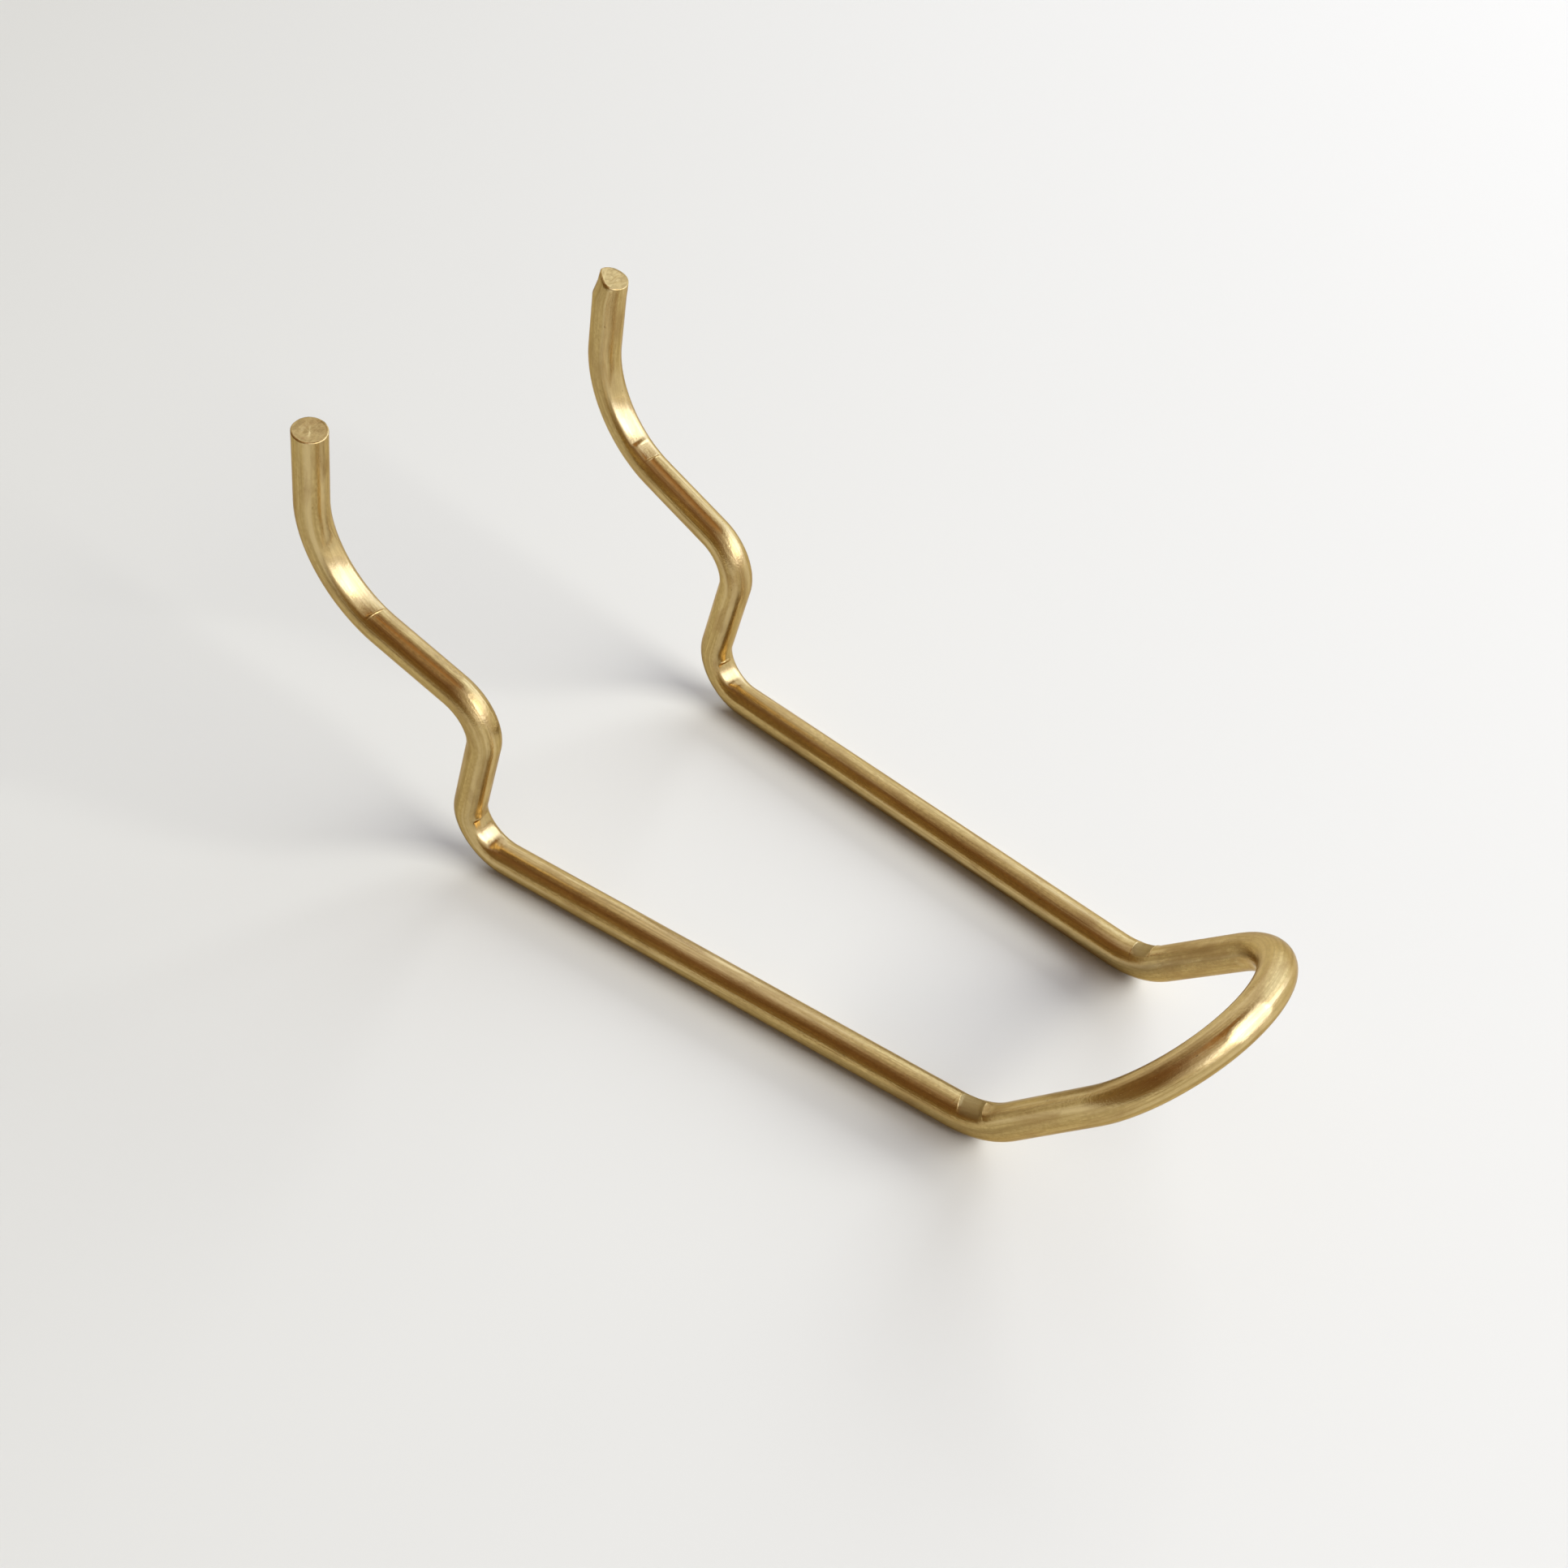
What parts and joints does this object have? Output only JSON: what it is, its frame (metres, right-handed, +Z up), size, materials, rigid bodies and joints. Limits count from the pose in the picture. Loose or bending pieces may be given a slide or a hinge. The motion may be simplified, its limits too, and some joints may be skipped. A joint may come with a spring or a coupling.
{
  "type": "pegboard hook",
  "caption": "Round brass wire bent into a double-arm pegboard hook, with upturned prongs for the board and a raised nose loop that keeps tools on.",
  "frame": {"origin": "middle of the footprint, on the surface that the two arms lie on", "axes": "+Y runs from the nose loop towards the board and the prongs, +X to the right, +Z up, away from the surface"},
  "size_m": [0.0578, 0.1402, 0.0695],
  "materials": {
    "brass_wire": "satin drawn brass, lightly tarnished, with bending marks and sheared ends"
  },
  "bodies": {
    "root": {"hook_wire": "brass_wire"}
  },
  "joints": []
}
